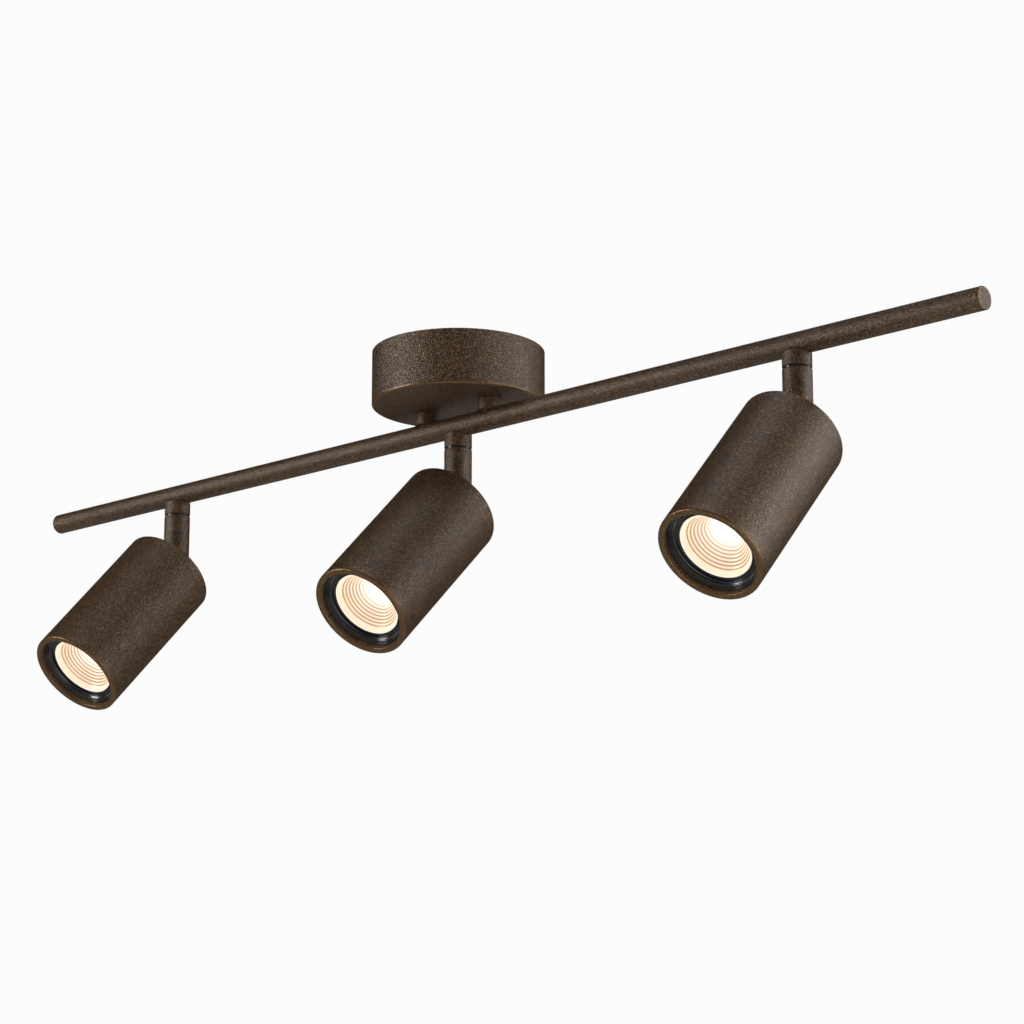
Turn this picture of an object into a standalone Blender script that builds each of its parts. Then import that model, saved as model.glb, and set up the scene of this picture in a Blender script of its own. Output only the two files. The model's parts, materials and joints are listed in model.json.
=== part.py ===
"""A bar spotlight: a round ceiling canopy, a straight bar and three swivelling lamp heads.

The origin is the centre of the ceiling face, +X runs along the bar, -Y is the side that the
heads aim to and +Z points into the ceiling. Lengths are in metres.
"""
import math

import bmesh
import bpy
from mathutils import Matrix, Vector

MM = 0.001
GAP = 0.3 * MM                      # left between pieces that touch

# ---------------------------------------------------------------- driving dimensions
CANOPY_RADIUS = 56.5 * MM
CANOPY_HEIGHT = 36.5 * MM
CANOPY_WALL = 1.2 * MM
CANOPY_EDGE = 1.8 * MM              # rounding of the lower edge
PLATE_RADIUS = 54.5 * MM
PLATE_THICKNESS = 1.5 * MM
PLATE_FLANGE = 13.0 * MM
SIDE_SCREW_AZIMUTHS = (72.0, 192.0)  # degrees from +X
SIDE_SCREW_Z = -7.5 * MM
GROUND_SCREW_X = -24.0 * MM
WIRE_OPENING_Y = 24.0 * MM          # the earth screw's place in Y too
WIRE_OPENING_RADIUS = 12.0 * MM
BOX_SLOT_X = 39.7 * MM              # middle of the slots for the outlet box screws
TERMINAL_Y = -27.0 * MM
TERMINAL_HEIGHT = 14.0 * MM
TERMINAL_PITCH = 9.0 * MM

BAR_RADIUS = 7.0 * MM
BAR_WALL = 1.2 * MM
BAR_LENGTH = 812.0 * MM
BAR_Z = -50.0 * MM
CAP_FLANGE = 1.6 * MM

STEM_X = 28.0 * MM                  # canopy stems, either side of the centre
STEM_RADIUS = 8.0 * MM
NIPPLE_RADIUS = 4.9 * MM
NIPPLE_BORE = 3.2 * MM
NIPPLE_HOLE = NIPPLE_RADIUS + GAP

HEAD_SPACING = 274.5 * MM
SWIVEL_RADIUS = 9.0 * MM
SEAM_Z = -65.0 * MM                 # joint between fixed collar and turning stem
PIVOT_Z = -99.8 * MM
COLLAR_TOP_Z = -55.6 * MM
WASHER_THICKNESS = 0.6 * MM
SLOT_WIDTH = 6.6 * MM
TONGUE_WIDTH = 6.0 * MM
TONGUE_RADIUS = 7.5 * MM
PIVOT_SCREW_RADIUS = 2.0 * MM

HEAD_RADIUS = 32.5 * MM
HEAD_LENGTH = 112.5 * MM
HEAD_WALL = 2.0 * MM
HEAD_REAR_WALL = 2.5 * MM
HEAD_REAR_EDGE = 0.7 * MM            # rounding of the rear edge
HEAD_LIP = 0.5 * MM                 # bevel of the mouth's rim
MOUTH_RADIUS = 28.5 * MM            # opening in the thicker wall at the mouth
MOUTH_DEPTH = 13.0 * MM             # depth of that thicker wall
HEAD_STANDOFF = 10.0 * MM           # pivot to rear face
MOUTH = HEAD_STANDOFF + HEAD_LENGTH  # pivot to the rim of the mouth

REFLECTOR_RADIUS = 22.0 * MM
REFLECTOR_RECESS = 7.5 * MM         # rim of the mouth to rim of the reflector
REFLECTOR_BACK = 27.8 * MM
RIDGES = 5
LAMP_RADIUS = 25.0 * MM
LAMP_FRONT = 8.9 * MM               # rim of the mouth to the lamp's front
LAMP_BASE = 54.4 * MM               # rim of the mouth to the lamp's base
PIN_SPACING = 10.0 * MM
LEAD_RADIUS = 1.2 * MM
LEAD_LANE = 1.55 * MM               # half the spacing of the two leads that share a stem
LEAD_DROP_Z = -23.0 * MM            # leads turn towards the stems at this height
LEAD_ENTRY_Z = -20.5 * MM           # and into them at this one
LEAD_END_Z = -63.5 * MM
LEAD_BEND = 2.4 * MM

# name, place along the bar in spacings, tilt from straight down, pan (degrees)
HEADS = (("left", -1, 42.6, -3.8), ("middle", 0, 45.1, -0.6), ("right", 1, 41.7, -2.5))

FINE, ROUND, SMALL, TINY = 32, 18, 12, 8   # sides of round pieces


# ---------------------------------------------------------------- tools
def clear_scene():
    for old in list(bpy.data.objects):
        bpy.data.objects.remove(old, do_unlink=True)


def finish(name, colour, roughness, metallic):
    """A Principled material, made once for each name."""
    found = bpy.data.materials.get(name)
    if found:
        return found
    made = bpy.data.materials.new(name)
    made.use_nodes = True
    shader = made.node_tree.nodes["Principled BSDF"]
    shader.inputs["Base Color"].default_value = (*colour, 1.0)
    shader.inputs["Roughness"].default_value = roughness
    shader.inputs["Metallic"].default_value = metallic
    made.diffuse_color = (*colour, 1.0)
    return made


def to_mesh(bm, name):
    bmesh.ops.remove_doubles(bm, verts=bm.verts, dist=0.002 * MM)
    bmesh.ops.recalc_face_normals(bm, faces=bm.faces)
    mesh = bpy.data.meshes.new(name)
    bm.to_mesh(mesh)
    bm.free()
    return mesh


def arc(centre_r, centre_z, radius, start, end, steps):
    """Points of an arc in an (r, z) outline; angles in degrees from +r."""
    points = []
    for i in range(steps + 1):
        a = math.radians(start + (end - start) * i / steps)
        points.append((centre_r + radius * math.cos(a), centre_z + radius * math.sin(a)))
    return points


def turned(name, outline, sides, phase=0.0):
    """Spins an (r, z) outline about Z. Ends on the axis stay open, others are joined up."""
    bm = bmesh.new()
    verts = [bm.verts.new((r * math.cos(phase), r * math.sin(phase), z)) for r, z in outline]
    pairs = list(zip(verts, verts[1:]))
    if outline[0][0] > 0.0 or outline[-1][0] > 0.0:
        pairs.append((verts[-1], verts[0]))
    edges = [bm.edges.new(pair) for pair in pairs]
    bmesh.ops.spin(bm, geom=verts + edges, cent=(0, 0, 0), axis=(0, 0, 1),
                   angle=math.tau, steps=sides, use_merge=True)
    return to_mesh(bm, name)


def rod(name, radius, low, high, sides, phase=0.0):
    return turned(name, [(0.0, high), (radius, high), (radius, low), (0.0, low)], sides, phase)


def drill(radius, low, high, sides):
    """A rod for cutting a hole, turned half a side so its edges miss those of the piece."""
    return rod("drill", radius, low, high, sides, math.pi / sides)


def block(name, low, high, bevel=0.0):
    """A box between two corners, its edges bevelled."""
    bm = bmesh.new()
    bmesh.ops.create_cube(bm, size=1.0)
    for vert in bm.verts:
        vert.co = Vector([low[i] if vert.co[i] < 0 else high[i] for i in range(3)])
    if bevel:
        bmesh.ops.bevel(bm, geom=list(bm.edges), offset=bevel, segments=1, affect="EDGES")
    return to_mesh(bm, name)


def extruded(name, outline, low_x, high_x):
    """A (y, z) outline stretched along X."""
    bm = bmesh.new()
    face = bm.faces.new([bm.verts.new((low_x, y, z)) for y, z in outline])
    grown = bmesh.ops.extrude_face_region(bm, geom=[face])
    moved = [item for item in grown["geom"] if isinstance(item, bmesh.types.BMVert)]
    bmesh.ops.translate(bm, vec=(high_x - low_x, 0, 0), verts=moved)
    return to_mesh(bm, name)


def placed(mesh, matrix):
    """A moved copy of a mesh, for use as a cutter."""
    copy = mesh.copy()
    copy.transform(matrix)
    return copy


def along_x(mesh, x=0.0, y=0.0, z=0.0):
    """Lays a mesh that was turned about Z down along X."""
    return placed(mesh, Matrix.Translation((x, y, z)) @ Matrix.Rotation(math.pi / 2, 4, "Y"))


def moved(mesh, x=0.0, y=0.0, z=0.0):
    return placed(mesh, Matrix.Translation((x, y, z)))


def carved(mesh, cutters, operation="DIFFERENCE"):
    """The mesh with other meshes cut from it, or joined to it."""
    body = bpy.data.objects.new("blank", mesh)
    bpy.context.scene.collection.objects.link(body)
    tools = []
    for cutter in cutters:
        tool = bpy.data.objects.new("cutter", cutter)
        tool.hide_render = True
        tool.display_type = "WIRE"
        bpy.context.scene.collection.objects.link(tool)
        cut = body.modifiers.new("cut", "BOOLEAN")
        cut.operation = operation
        cut.solver = "EXACT"
        cut.object = tool
        tools.append(tool)
    result = bpy.data.meshes.new_from_object(body.evaluated_get(bpy.context.evaluated_depsgraph_get()))
    for used in [body] + tools:
        bpy.data.objects.remove(used, do_unlink=True)
    bm = bmesh.new()
    bm.from_mesh(result)
    return to_mesh(bm, mesh.name)


def place(name, mesh, material, parent=None, location=(0, 0, 0), rotation=(0, 0, 0)):
    """One named piece, smooth where it is round."""
    piece = bpy.data.objects.new(name, mesh)
    bpy.context.scene.collection.objects.link(piece)
    if not mesh.materials:
        mesh.materials.append(material)
    mesh.shade_smooth()
    mesh.set_sharp_from_angle(angle=math.radians(32))
    piece.parent = parent
    piece.location = location
    piece.rotation_euler = rotation
    return piece


def axis_empty(name, parent, location, rotation):
    empty = bpy.data.objects.new(name, None)
    bpy.context.scene.collection.objects.link(empty)
    empty.parent = parent
    empty.location = location
    empty.rotation_euler = rotation
    return empty


# ---------------------------------------------------------------- finishes
def bronze():
    return finish("bronze_coat", (0.045, 0.031, 0.021), 0.45, 0.6)


def zinc():
    return finish("zinc_steel", (0.55, 0.55, 0.53), 0.35, 1.0)


def black_plastic():
    return finish("black_plastic", (0.012, 0.012, 0.013), 0.3, 0.0)


# ---------------------------------------------------------------- canopy
def canopy_cover():
    """Drum with an open top, holes for the two stems and for the two side screws."""
    r, h, t, e = CANOPY_RADIUS, CANOPY_HEIGHT, CANOPY_WALL, CANOPY_EDGE
    outline = [(0.0, -h + t), (r - e, -h + t), (r - t, -h + e), (r - t, 0.0), (r, 0.0)]
    outline += arc(r - e, -h + e, e, 0, -90, 3) + [(0.0, -h)]
    shell = turned("canopy_cover", outline, FINE)
    stem_hole = drill(NIPPLE_HOLE, -h - 2 * MM, -h + 4 * MM, SMALL)
    holes = [moved(stem_hole, x=side * STEM_X) for side in (-1, 1)]
    shell = carved(shell, holes + side_screw_holes())
    place("canopy_cover", shell, bronze())


def side_screw_holes():
    """Radial holes through canopy wall and plate flange."""
    hole = drill(1.8 * MM, 45 * MM, 62 * MM, TINY)
    turns = [Matrix.Rotation(math.radians(a), 4, "Z") for a in SIDE_SCREW_AZIMUTHS]
    flat = Matrix.Translation((0, 0, SIDE_SCREW_Z)) @ Matrix.Rotation(math.pi / 2, 4, "Y")
    return [placed(hole, turn @ flat) for turn in turns]


def ceiling_plate():
    """Dished plate that is screwed to the outlet box; its flat top is the ceiling face."""
    r, t, f = PLATE_RADIUS, PLATE_THICKNESS, PLATE_FLANGE
    outline = [(0.0, 0.0), (r - t, 0.0), (r, -t), (r, -f), (r - t, -f), (r - t, -1.6 * t),
               (r - 1.6 * t, -t), (0.0, -t)]
    plate = turned("ceiling_plate", outline, FINE)
    wire_hole = moved(drill(WIRE_OPENING_RADIUS, -5 * MM, 5 * MM, ROUND), y=WIRE_OPENING_Y)
    slots = []
    for side in (-1, 1):
        centre = side * BOX_SLOT_X
        half = 7.2 * MM
        slots.append(block("slot", (centre - half, -2.5 * MM, -5 * MM),
                           (centre + half, 2.5 * MM, 5 * MM), 1.0 * MM))
    ground_hole = moved(drill(2.3 * MM, -5 * MM, 5 * MM, TINY), x=GROUND_SCREW_X, y=WIRE_OPENING_Y)
    plate = carved(plate, [wire_hole, ground_hole] + slots + side_screw_holes())
    place("ceiling_plate", plate, zinc())


def slotted_screw(name, head_radius, head_height, shank_radius, shank_length):
    """A domed screw standing on its head's seat at z = 0, its shank pointing down."""
    outline = [(0.0, head_height), (head_radius * 0.6, head_height * 0.9),
               (head_radius, head_height * 0.4), (head_radius, 0.0),
               (shank_radius, 0.0), (shank_radius, -shank_length), (0.0, -shank_length)]
    width = 0.5 * MM
    drive = block("drive", (-head_radius * 2, -width, head_height * 0.45),
                  (head_radius * 2, width, head_height * 2))
    return carved(turned(name, outline, TINY), [drive])


def canopy_screws():
    """Two side screws, through the canopy wall into the plate's flange."""
    screw = slotted_screw("side_screw", 3.0 * MM, 1.8 * MM, 1.5 * MM, 6.0 * MM)
    seat = CANOPY_RADIUS + GAP
    for number, azimuth in enumerate(SIDE_SCREW_AZIMUTHS, 1):
        a = math.radians(azimuth)
        place(f"canopy_screw_{number}", screw, bronze(),
              location=(seat * math.cos(a), seat * math.sin(a), SIDE_SCREW_Z),
              rotation=(0, math.pi / 2, a))


def ground_screw():
    """Earth screw, head down, in the ceiling plate."""
    screw = slotted_screw("ground_screw", 4.0 * MM, 2.4 * MM, 2.0 * MM, 1.4 * MM)
    place("ground_screw", screw, finish("green_screw", (0.02, 0.22, 0.06), 0.35, 0.8),
          location=(GROUND_SCREW_X, WIRE_OPENING_Y, -PLATE_THICKNESS - GAP), rotation=(math.pi, 0, 0))


def terminal_block():
    """Screw terminals for the supply, clipped under the plate, with blind wire entries."""
    top = -PLATE_THICKNESS - GAP
    bottom, half = top - TERMINAL_HEIGHT, 7 * MM
    body = block("terminal_block", (-15 * MM, TERMINAL_Y - half, bottom),
                 (15 * MM, TERMINAL_Y + half, top), 0.8 * MM)
    entry = drill(1.7 * MM, -6 * MM, 6 * MM, TINY)
    holes = [moved(entry, x=place_along * TERMINAL_PITCH, y=TERMINAL_Y, z=bottom)
             for place_along in (-1, 0, 1)]
    place("terminal_block", carved(body, holes), finish("ivory_plastic", (0.75, 0.71, 0.6), 0.5, 0.0))


def canopy_stems():
    """Short tubes between canopy and bar, each held by a hollow nipple and a flanged nut."""
    top = -CANOPY_HEIGHT - GAP
    stem = turned("canopy_stem", [(NIPPLE_HOLE, top), (STEM_RADIUS, top),
                                  (STEM_RADIUS, -44.6 * MM), (NIPPLE_HOLE, -44.6 * MM)], ROUND)
    stem = carved(stem, [moved(bar_blank(), x=-STEM_X)])
    nipple = turned("stem_nipple", [(NIPPLE_BORE, -25 * MM), (NIPPLE_RADIUS, -25 * MM),
                                    (NIPPLE_RADIUS, -45.4 * MM), (NIPPLE_BORE, -45.4 * MM)], SMALL)
    seat = -CANOPY_HEIGHT + CANOPY_WALL + GAP
    flange = rod("stem_nut", 9.4 * MM, seat, seat + 1.3 * MM, ROUND)
    hexagon = rod("hexagon", 8.6 * MM, seat + 0.6 * MM, seat + 6.5 * MM, 6)
    nut = carved(carved(flange, [hexagon], "UNION"),
                 [drill(NIPPLE_HOLE, seat - MM, seat + 8 * MM, SMALL)])
    for side, x in (("left", -STEM_X), ("right", STEM_X)):
        place(f"canopy_stem_{side}", stem, bronze(), location=(x, 0, 0))
        place(f"stem_nipple_{side}", nipple, zinc(), location=(x, 0, 0))
        place(f"stem_nut_{side}", nut, zinc(), location=(x, 0, 0))


# ---------------------------------------------------------------- bar
def bar_blank():
    """The space that the bar takes in the pieces that are seated on it."""
    return along_x(drill(BAR_RADIUS + GAP, -60 * MM, 60 * MM, ROUND), z=BAR_Z)


def bar_tube():
    """Tube with a lead hole over each head and under each canopy stem."""
    half = BAR_LENGTH / 2 - CAP_FLANGE - GAP
    inner = BAR_RADIUS - BAR_WALL
    tube = turned("bar_tube", [(inner, half), (BAR_RADIUS, half), (BAR_RADIUS, -half),
                               (inner, -half)], ROUND)
    tube = along_x(tube, z=BAR_Z)
    upper = drill(NIPPLE_HOLE, BAR_Z, BAR_Z + 2 * BAR_RADIUS, SMALL)
    lower = drill(4.5 * MM, BAR_Z - 2 * BAR_RADIUS, BAR_Z, SMALL)
    holes = [moved(upper, x=side * STEM_X) for side in (-1, 1)]
    holes += [moved(lower, x=place_along * HEAD_SPACING) for _, place_along, _, _ in HEADS]
    place("bar_tube", carved(tube, holes), bronze())


def end_caps():
    """Flanged plugs that close the bar's ends."""
    plug, edge = BAR_RADIUS - BAR_WALL - GAP, 0.4 * MM
    outline = [(0.0, CAP_FLANGE), (BAR_RADIUS - edge, CAP_FLANGE), (BAR_RADIUS, CAP_FLANGE - edge),
               (BAR_RADIUS, 0.0), (plug, 0.0), (plug, -9 * MM), (plug - MM, -10 * MM), (0.0, -10 * MM)]
    cap = turned("end_cap", outline, ROUND)
    reach = BAR_LENGTH / 2 - CAP_FLANGE
    place("end_cap_left", cap, bronze(), location=(-reach, 0, BAR_Z), rotation=(0, -math.pi / 2, 0))
    place("end_cap_right", cap, bronze(), location=(reach, 0, BAR_Z), rotation=(0, math.pi / 2, 0))


def rounded_path(corners, radius, steps=3):
    """The corner points with each inner corner replaced by an arc-like curve."""
    points = [Vector(corners[0])]
    for before, corner, after in zip(corners, corners[1:], corners[2:]):
        corner = Vector(corner)
        start = corner + (Vector(before) - corner).normalized() * radius
        end = corner + (Vector(after) - corner).normalized() * radius
        for i in range(steps + 1):
            t = i / steps
            points.append(start.lerp(corner, t).lerp(corner.lerp(end, t), t))
    return points + [Vector(corners[-1])]


def lead(name, start_x, stem_x, lane, head_x):
    """A two-core lead from the terminal block, through a stem and the bar, to a swivel."""
    direction = math.copysign(1.0, head_x - stem_x)
    start_z = -PLATE_THICKNESS - GAP - TERMINAL_HEIGHT + 3 * MM
    corners = [(start_x, TERMINAL_Y, start_z), (start_x, TERMINAL_Y, LEAD_DROP_Z),
               (stem_x, lane, LEAD_ENTRY_Z), (stem_x, lane, BAR_Z),
               (stem_x + direction * 8 * MM, lane, BAR_Z), (head_x - direction * 5 * MM, 0, BAR_Z),
               (head_x, 0, BAR_Z), (head_x, 0, LEAD_END_Z)]
    curve = bpy.data.curves.new(name, "CURVE")
    curve.dimensions = "3D"
    curve.bevel_depth = LEAD_RADIUS
    curve.bevel_resolution = 1
    curve.use_fill_caps = True
    points = rounded_path(corners, LEAD_BEND)
    spline = curve.splines.new("POLY")
    spline.points.add(len(points) - 1)
    for target, point in zip(spline.points, points):
        target.co = (*point, 1.0)
    cord = bpy.data.objects.new(name, curve)
    curve.materials.append(finish("lead_sheath", (0.03, 0.03, 0.03), 0.5, 0.0))
    bpy.context.scene.collection.objects.link(cord)


def leads():
    lead("lead_left", -TERMINAL_PITCH, -STEM_X, 0.0, -HEAD_SPACING)
    lead("lead_middle", 0.0, STEM_X, LEAD_LANE, 0.0)
    lead("lead_right", TERMINAL_PITCH, STEM_X, -LEAD_LANE, HEAD_SPACING)


# ---------------------------------------------------------------- swivels
def swivel_collar():
    """Fixed collar with a saddle for the bar and a counterbore for the swivel bolt's head."""
    bottom, shelf = SEAM_Z + GAP, -60.0 * MM
    outline = [(5.3 * MM, bottom), (5.3 * MM, shelf), (7.0 * MM, shelf), (7.0 * MM, COLLAR_TOP_Z),
               (SWIVEL_RADIUS, COLLAR_TOP_Z), (SWIVEL_RADIUS, bottom)]
    return carved(turned("swivel_collar", outline, ROUND), [bar_blank()])


def friction_washer():
    top = SEAM_Z
    bottom = top - WASHER_THICKNESS
    rim = SWIVEL_RADIUS - 0.5 * MM
    return turned("friction_washer", [(5.3 * MM, top), (rim, top), (rim, bottom), (5.3 * MM, bottom)],
                  SMALL)


def swivel_bolt():
    """Hollow headed bolt: its head rests in the collar, its shank is screwed into the stem."""
    top, seat, end = -57.8 * MM, -59.7 * MM, -74.0 * MM
    outline = [(3.0 * MM, top), (6.6 * MM, top), (6.6 * MM, seat), (5.0 * MM, seat),
               (5.0 * MM, end), (3.0 * MM, end)]
    return turned("swivel_bolt", outline, SMALL)


def swivel_stem():
    """Turning stem with a ball end, slotted for the tongue and drilled for the pivot screw.

    It is modelled about the pivot, so z = 0 is the tilt axis.
    """
    top = SEAM_Z - WASHER_THICKNESS - GAP - PIVOT_Z
    r = SWIVEL_RADIUS
    outline = [(3.0 * MM, 0.0), (3.0 * MM, top - 10 * MM), (5.3 * MM, top - 10 * MM), (5.3 * MM, top),
               (r, top)] + arc(0.0, 0.0, r, 0, -66, 4) + [(3.0 * MM, -r)]
    stem = turned("swivel_stem", outline, ROUND)
    slot = block("slot", (-SLOT_WIDTH / 2, -2 * r, -2 * r), (SLOT_WIDTH / 2, 2 * r, TONGUE_RADIUS + MM))
    screw_hole = along_x(drill(PIVOT_SCREW_RADIUS + GAP, -2 * r, 2 * r, SMALL))
    sinks = [along_x(drill(4.0 * MM, side * 9.3 * MM - 3.4 * MM, side * 9.3 * MM + 3.4 * MM, SMALL))
             for side in (-1, 1)]
    return carved(stem, [slot, screw_hole] + sinks)


def pivot_screw():
    """Flush screw across the fork, modelled along Z and laid along X when it is placed."""
    r = PIVOT_SCREW_RADIUS
    outline = [(0.0, 8.2 * MM), (3.6 * MM, 8.2 * MM), (3.6 * MM, 6.2 * MM), (r, 6.2 * MM),
               (r, -8.0 * MM), (0.0, -8.0 * MM)]
    socket = drill(1.5 * MM, 7.0 * MM, 10 * MM, 6)
    return carved(turned("pivot_screw", outline, SMALL), [socket])


def pivot_nut():
    outer = rod("pivot_nut", 3.7 * MM, -8.2 * MM, -6.2 * MM, 6)
    return carved(outer, [drill(PIVOT_SCREW_RADIUS + GAP, -10 * MM, 0, TINY)])


# ---------------------------------------------------------------- lamp head
# The head is modelled pointing down, with the tilt axis at the origin. depth(d) is the
# height of a point that lies d behind the rim of the mouth.
def depth(d):
    return -MOUTH + d


def lamp_housing():
    """Deep can: a thick wall at the mouth, and a hole in its rear wall for the spigot."""
    r, edge, lip = HEAD_RADIUS, HEAD_REAR_EDGE, HEAD_LIP
    rear, inner = -HEAD_STANDOFF, HEAD_RADIUS - HEAD_WALL
    outline = [(NIPPLE_HOLE, rear)] + arc(r - edge, rear - edge, edge, 90, 0, 2)
    outline += [(r, depth(lip)), (r - lip, depth(0)), (MOUTH_RADIUS + lip, depth(0)),
                (MOUTH_RADIUS, depth(lip)), (MOUTH_RADIUS, depth(MOUTH_DEPTH)),
                (inner, depth(MOUTH_DEPTH + 2 * MM)), (inner, rear - HEAD_REAR_WALL),
                (NIPPLE_HOLE, rear - HEAD_REAR_WALL)]
    return turned("lamp_housing", outline, FINE)


def rear_tongue():
    """Knuckle tongue with a hollow threaded spigot that goes through the rear wall."""
    r, foot = TONGUE_RADIUS, -HEAD_STANDOFF + GAP
    outline = [(r * math.cos(math.radians(a)), r * math.sin(math.radians(a))) for a in range(0, 181, 30)]
    outline += [(-r, foot), (r, foot)]
    plate = extruded("rear_tongue", outline, -TONGUE_WIDTH / 2, TONGUE_WIDTH / 2)
    spigot = rod("spigot", 4.9 * MM, -22.0 * MM, foot - 0.1 * MM, SMALL)
    collar = rod("collar", 4.9 * MM, foot - 0.2 * MM, foot + 1.2 * MM, SMALL)
    tongue = carved(plate, [collar, spigot], "UNION")
    bore = drill(2.0 * MM, -30 * MM, -6.0 * MM, TINY)
    cross = placed(drill(1.6 * MM, -12 * MM, 12 * MM, TINY),
                   Matrix.Translation((0, 0, -6.2 * MM)) @ Matrix.Rotation(math.pi / 2, 4, "X"))
    pivot = along_x(drill(PIVOT_SCREW_RADIUS + GAP, -20 * MM, 20 * MM, SMALL))
    return carved(tongue, [bore, cross, pivot])


def holder_bracket():
    """U-shaped strap, screwed on the spigot, whose legs carry the lamp holder."""
    seat = -HEAD_STANDOFF - HEAD_REAR_WALL - GAP
    leg, sheet, out = depth(64 * MM), 1.4 * MM, 15.4 * MM
    base = block("holder_bracket", (-out, -6.5 * MM, seat - sheet), (out, 6.5 * MM, seat))
    legs = [block("leg", (min(s * out, s * (out - sheet)), -5 * MM, leg),
                  (max(s * out, s * (out - sheet)), 5 * MM, seat - sheet / 2)) for s in (-1, 1)]
    strap = carved(base, legs, "UNION")
    return carved(strap, [drill(5.2 * MM, seat - 3 * MM, seat + 2 * MM, SMALL)])


def lamp_holder():
    """Ceramic holder with two blind sockets for the lamp's pins."""
    front, rear, r = depth(LAMP_BASE + GAP), depth(LAMP_BASE + 16 * MM), 13.6 * MM
    outline = [(0.0, rear), (r - MM, rear), (r, rear - MM), (r, front), (0.0, front)]
    socket = drill(2.8 * MM, front - 5 * MM, front + 9 * MM, TINY)
    sockets = [moved(socket, x=s * PIN_SPACING / 2) for s in (-1, 1)]
    return carved(turned("lamp_holder", outline, ROUND), sockets)


def lamp_shell():
    """Cup of the lamp: a front rim, a tapering body and two headed pins."""
    r, front, rim = LAMP_RADIUS, depth(LAMP_FRONT), depth(LAMP_FRONT + 4.1 * MM)
    floor, inner = depth(29.5 * MM), r - 2.3 * MM
    outline = [(0.0, floor), (8.0 * MM, floor), (inner, rim), (inner, front), (r, front), (r, rim),
               (r - 1.5 * MM, rim + 2.6 * MM), (14 * MM, depth(42.6 * MM)), (12.8 * MM, depth(LAMP_BASE)),
               (0.0, depth(LAMP_BASE))]
    base = depth(LAMP_BASE)
    pin = turned("pin", [(0.0, base + 7.2 * MM), (2.3 * MM, base + 7.2 * MM), (2.3 * MM, base + 4.4 * MM),
                         (1.3 * MM, base + 4.4 * MM), (1.3 * MM, base - 0.8 * MM), (0.0, base - 0.8 * MM)],
                 TINY)
    pins = [moved(pin, x=s * PIN_SPACING / 2) for s in (-1, 1)]
    return carved(turned("lamp_shell", outline, SMALL), pins, "UNION")


def reflector():
    """Cup with a plain band under its rim and ridges down to the emitter."""
    rim, band = REFLECTOR_RADIUS, 11.8 * MM
    first, last = 19.7 * MM, 5.4 * MM
    outline = [(6.8 * MM, depth(REFLECTOR_BACK)), (21.2 * MM, depth(12.6 * MM)),
               (rim, depth(9.6 * MM)), (rim, depth(REFLECTOR_RECESS)),
               (rim - 0.5 * MM, depth(REFLECTOR_RECESS))]
    for ridge in range(RIDGES):
        along = ridge / RIDGES
        r = first + (last - first) * along
        d = band + (REFLECTOR_BACK - band) * along
        outline += [(r, depth(d)), (r - 0.9 * MM, depth(d + 0.3 * MM))]
    outline.append((last, depth(REFLECTOR_BACK)))
    return turned("reflector", outline, SMALL)


def emitter():
    """Round chip on a small disc behind the reflector's throat."""
    back, front = depth(29.2 * MM), depth(REFLECTOR_BACK + GAP)
    outline = [(0.0, back), (6.3 * MM, back), (6.3 * MM, front), (0.0, front)]
    return turned("emitter", outline, SMALL)


def front_ring():
    """Stepped baffle ring that holds the lamp in the mouth of the housing."""
    outer, lip, inner = MOUTH_RADIUS - GAP, REFLECTOR_RADIUS + GAP, LAMP_RADIUS + 0.4 * MM
    front, seat, back = depth(3.6 * MM), depth(LAMP_FRONT - GAP), depth(12 * MM)
    outline = [(outer, front), (outer, back), (inner, back), (inner, seat), (lip, seat),
               (lip, depth(7.8 * MM)), (24.6 * MM, depth(7.8 * MM)), (25.0 * MM, depth(6.8 * MM)),
               (27.0 * MM, depth(6.0 * MM)), (27.6 * MM, front)]
    return turned("front_ring", outline, ROUND + 4)


def heads():
    """Three heads, each a stem that pans with a lamp that tilts on it."""
    collar, washer, bolt = swivel_collar(), friction_washer(), swivel_bolt()
    stem, screw, nut = swivel_stem(), pivot_screw(), pivot_nut()
    ceramic = finish("white_ceramic", (0.82, 0.80, 0.74), 0.4, 0.0)
    tilting = (
        ("lamp_housing", lamp_housing(), bronze()),
        ("rear_tongue", rear_tongue(), bronze()),
        ("holder_bracket", holder_bracket(), zinc()),
        ("lamp_holder", lamp_holder(), ceramic),
        ("lamp_shell", lamp_shell(), finish("lamp_aluminium", (0.6, 0.6, 0.6), 0.35, 1.0)),
        ("reflector", reflector(), finish("bright_aluminium", (0.9, 0.86, 0.78), 0.15, 1.0)),
        ("emitter", emitter(), finish("phosphor", (1.0, 0.85, 0.5), 0.5, 0.0)),
        ("front_ring", front_ring(), black_plastic()),
    )
    for side, place_along, tilt, pan in HEADS:
        x = place_along * HEAD_SPACING
        pan_axis = axis_empty(f"pan_axis_{side}", None, (x, 0, PIVOT_Z), (0, 0, math.radians(pan)))
        tilt_axis = axis_empty(f"tilt_axis_{side}", pan_axis, (0, 0, 0), (-math.radians(tilt), 0, 0))
        lift = (0, 0, -PIVOT_Z)
        place(f"swivel_collar_{side}", collar, bronze(), location=(x, 0, 0))
        place(f"friction_washer_{side}", washer, black_plastic(), pan_axis, lift)
        place(f"swivel_bolt_{side}", bolt, zinc(), pan_axis, lift)
        place(f"swivel_stem_{side}", stem, bronze(), pan_axis)
        place(f"pivot_screw_{side}", screw, zinc(), pan_axis, rotation=(0, math.pi / 2, 0))
        place(f"pivot_nut_{side}", nut, zinc(), pan_axis, rotation=(0, math.pi / 2, 0))
        for name, mesh, material in tilting:
            place(f"{name}_{side}", mesh, material, tilt_axis)


clear_scene()
canopy_cover()
ceiling_plate()
canopy_screws()
ground_screw()
terminal_block()
canopy_stems()
bar_tube()
end_caps()
leads()
heads()
bpy.context.view_layer.update()
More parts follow.
